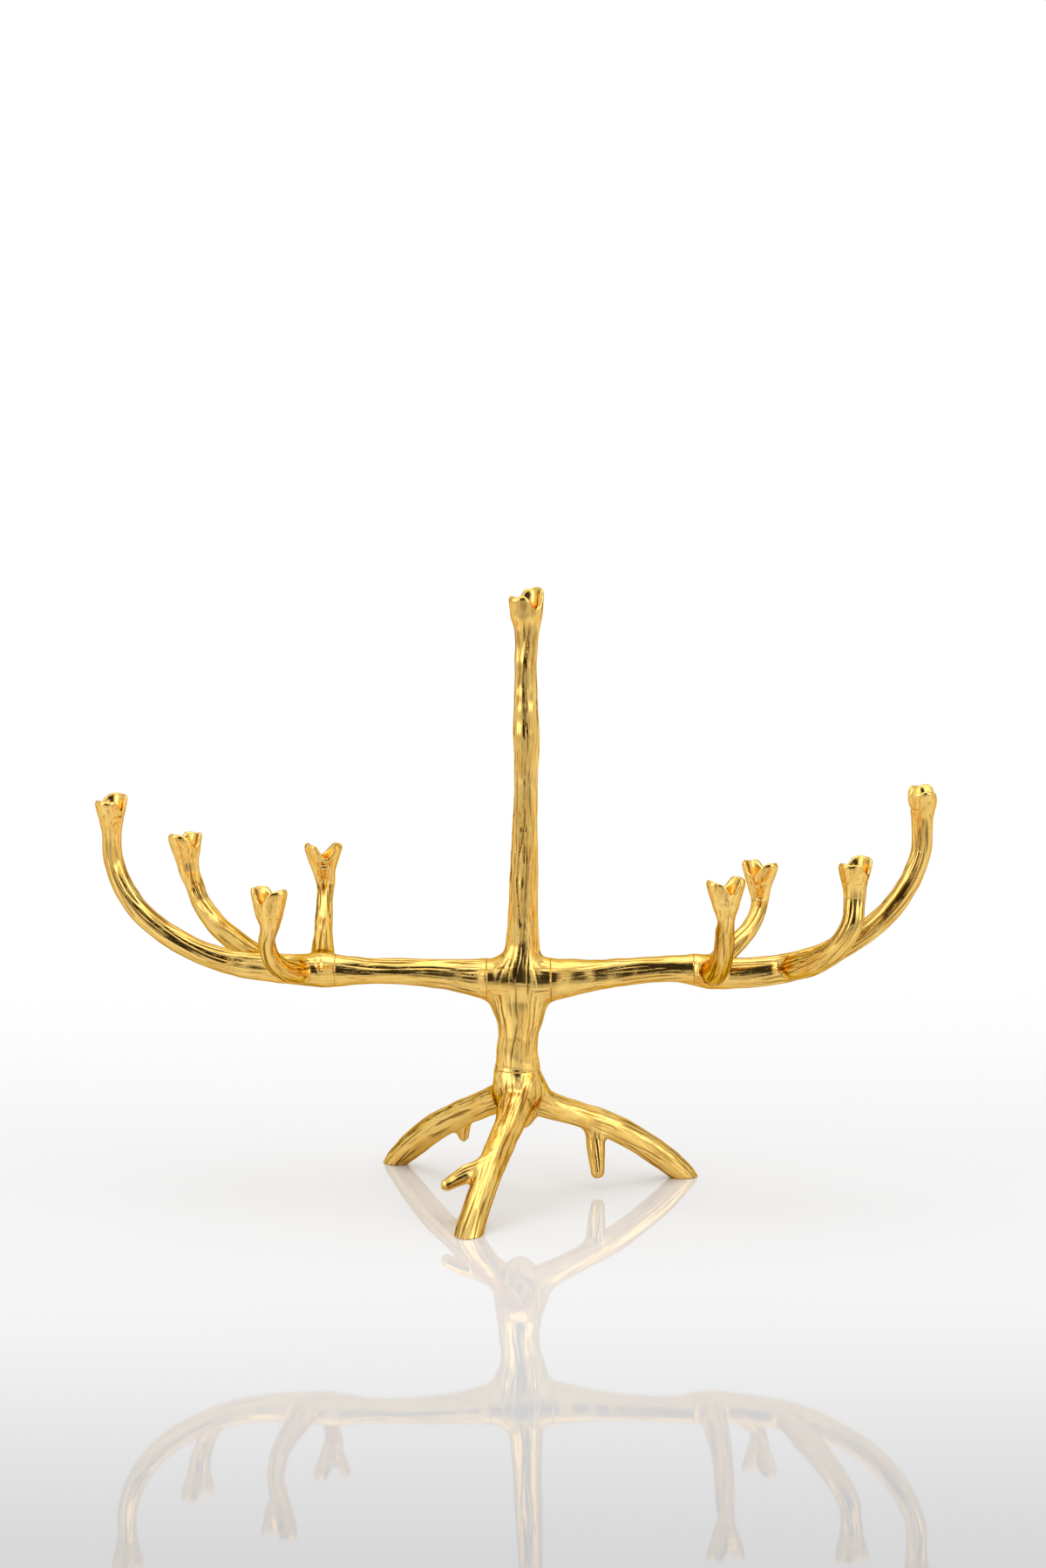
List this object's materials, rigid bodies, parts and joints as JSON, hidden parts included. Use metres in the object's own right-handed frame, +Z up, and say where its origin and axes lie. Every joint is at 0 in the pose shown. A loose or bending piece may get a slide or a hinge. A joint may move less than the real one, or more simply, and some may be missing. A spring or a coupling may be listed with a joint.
{
  "type": "tabletop candelabra",
  "caption": "Cast metal tabletop candelabra shaped as a bare tree: root tripod, trunk, tall centre stem and two curving arms with branches that end in fish-mouth candle cups.",
  "frame": {"origin": "on the table under the middle of the whole piece", "axes": "+X along the two arms, to the right seen from the front; -Y to the front, where the forward foot stands; +Z up the stem"},
  "size_m": [0.382, 0.1483, 0.277],
  "materials": {
    "gold_casting": "polished gold plate over textured bark casting",
    "pin_brass": "plain turned brass"
  },
  "bodies": {
    "root": {"root_base": "gold_casting", "trunk_stem": "gold_casting", "left_arm": "gold_casting", "right_arm": "gold_casting", "left_outer_branch": "gold_casting", "right_outer_branch": "gold_casting", "left_mid_branch": "gold_casting", "left_front_branch": "gold_casting", "left_rear_branch": "gold_casting", "right_mid_branch": "gold_casting", "right_front_branch": "gold_casting", "right_rear_branch": "gold_casting", "base_stud": "pin_brass", "left_arm_dowel": "pin_brass", "right_arm_dowel": "pin_brass", "left_knuckle_dowel": "pin_brass", "right_knuckle_dowel": "pin_brass", "left_mid_pin": "pin_brass", "left_front_pin": "pin_brass", "left_rear_pin": "pin_brass", "right_mid_pin": "pin_brass", "right_front_pin": "pin_brass", "right_rear_pin": "pin_brass"}
  },
  "joints": []
}
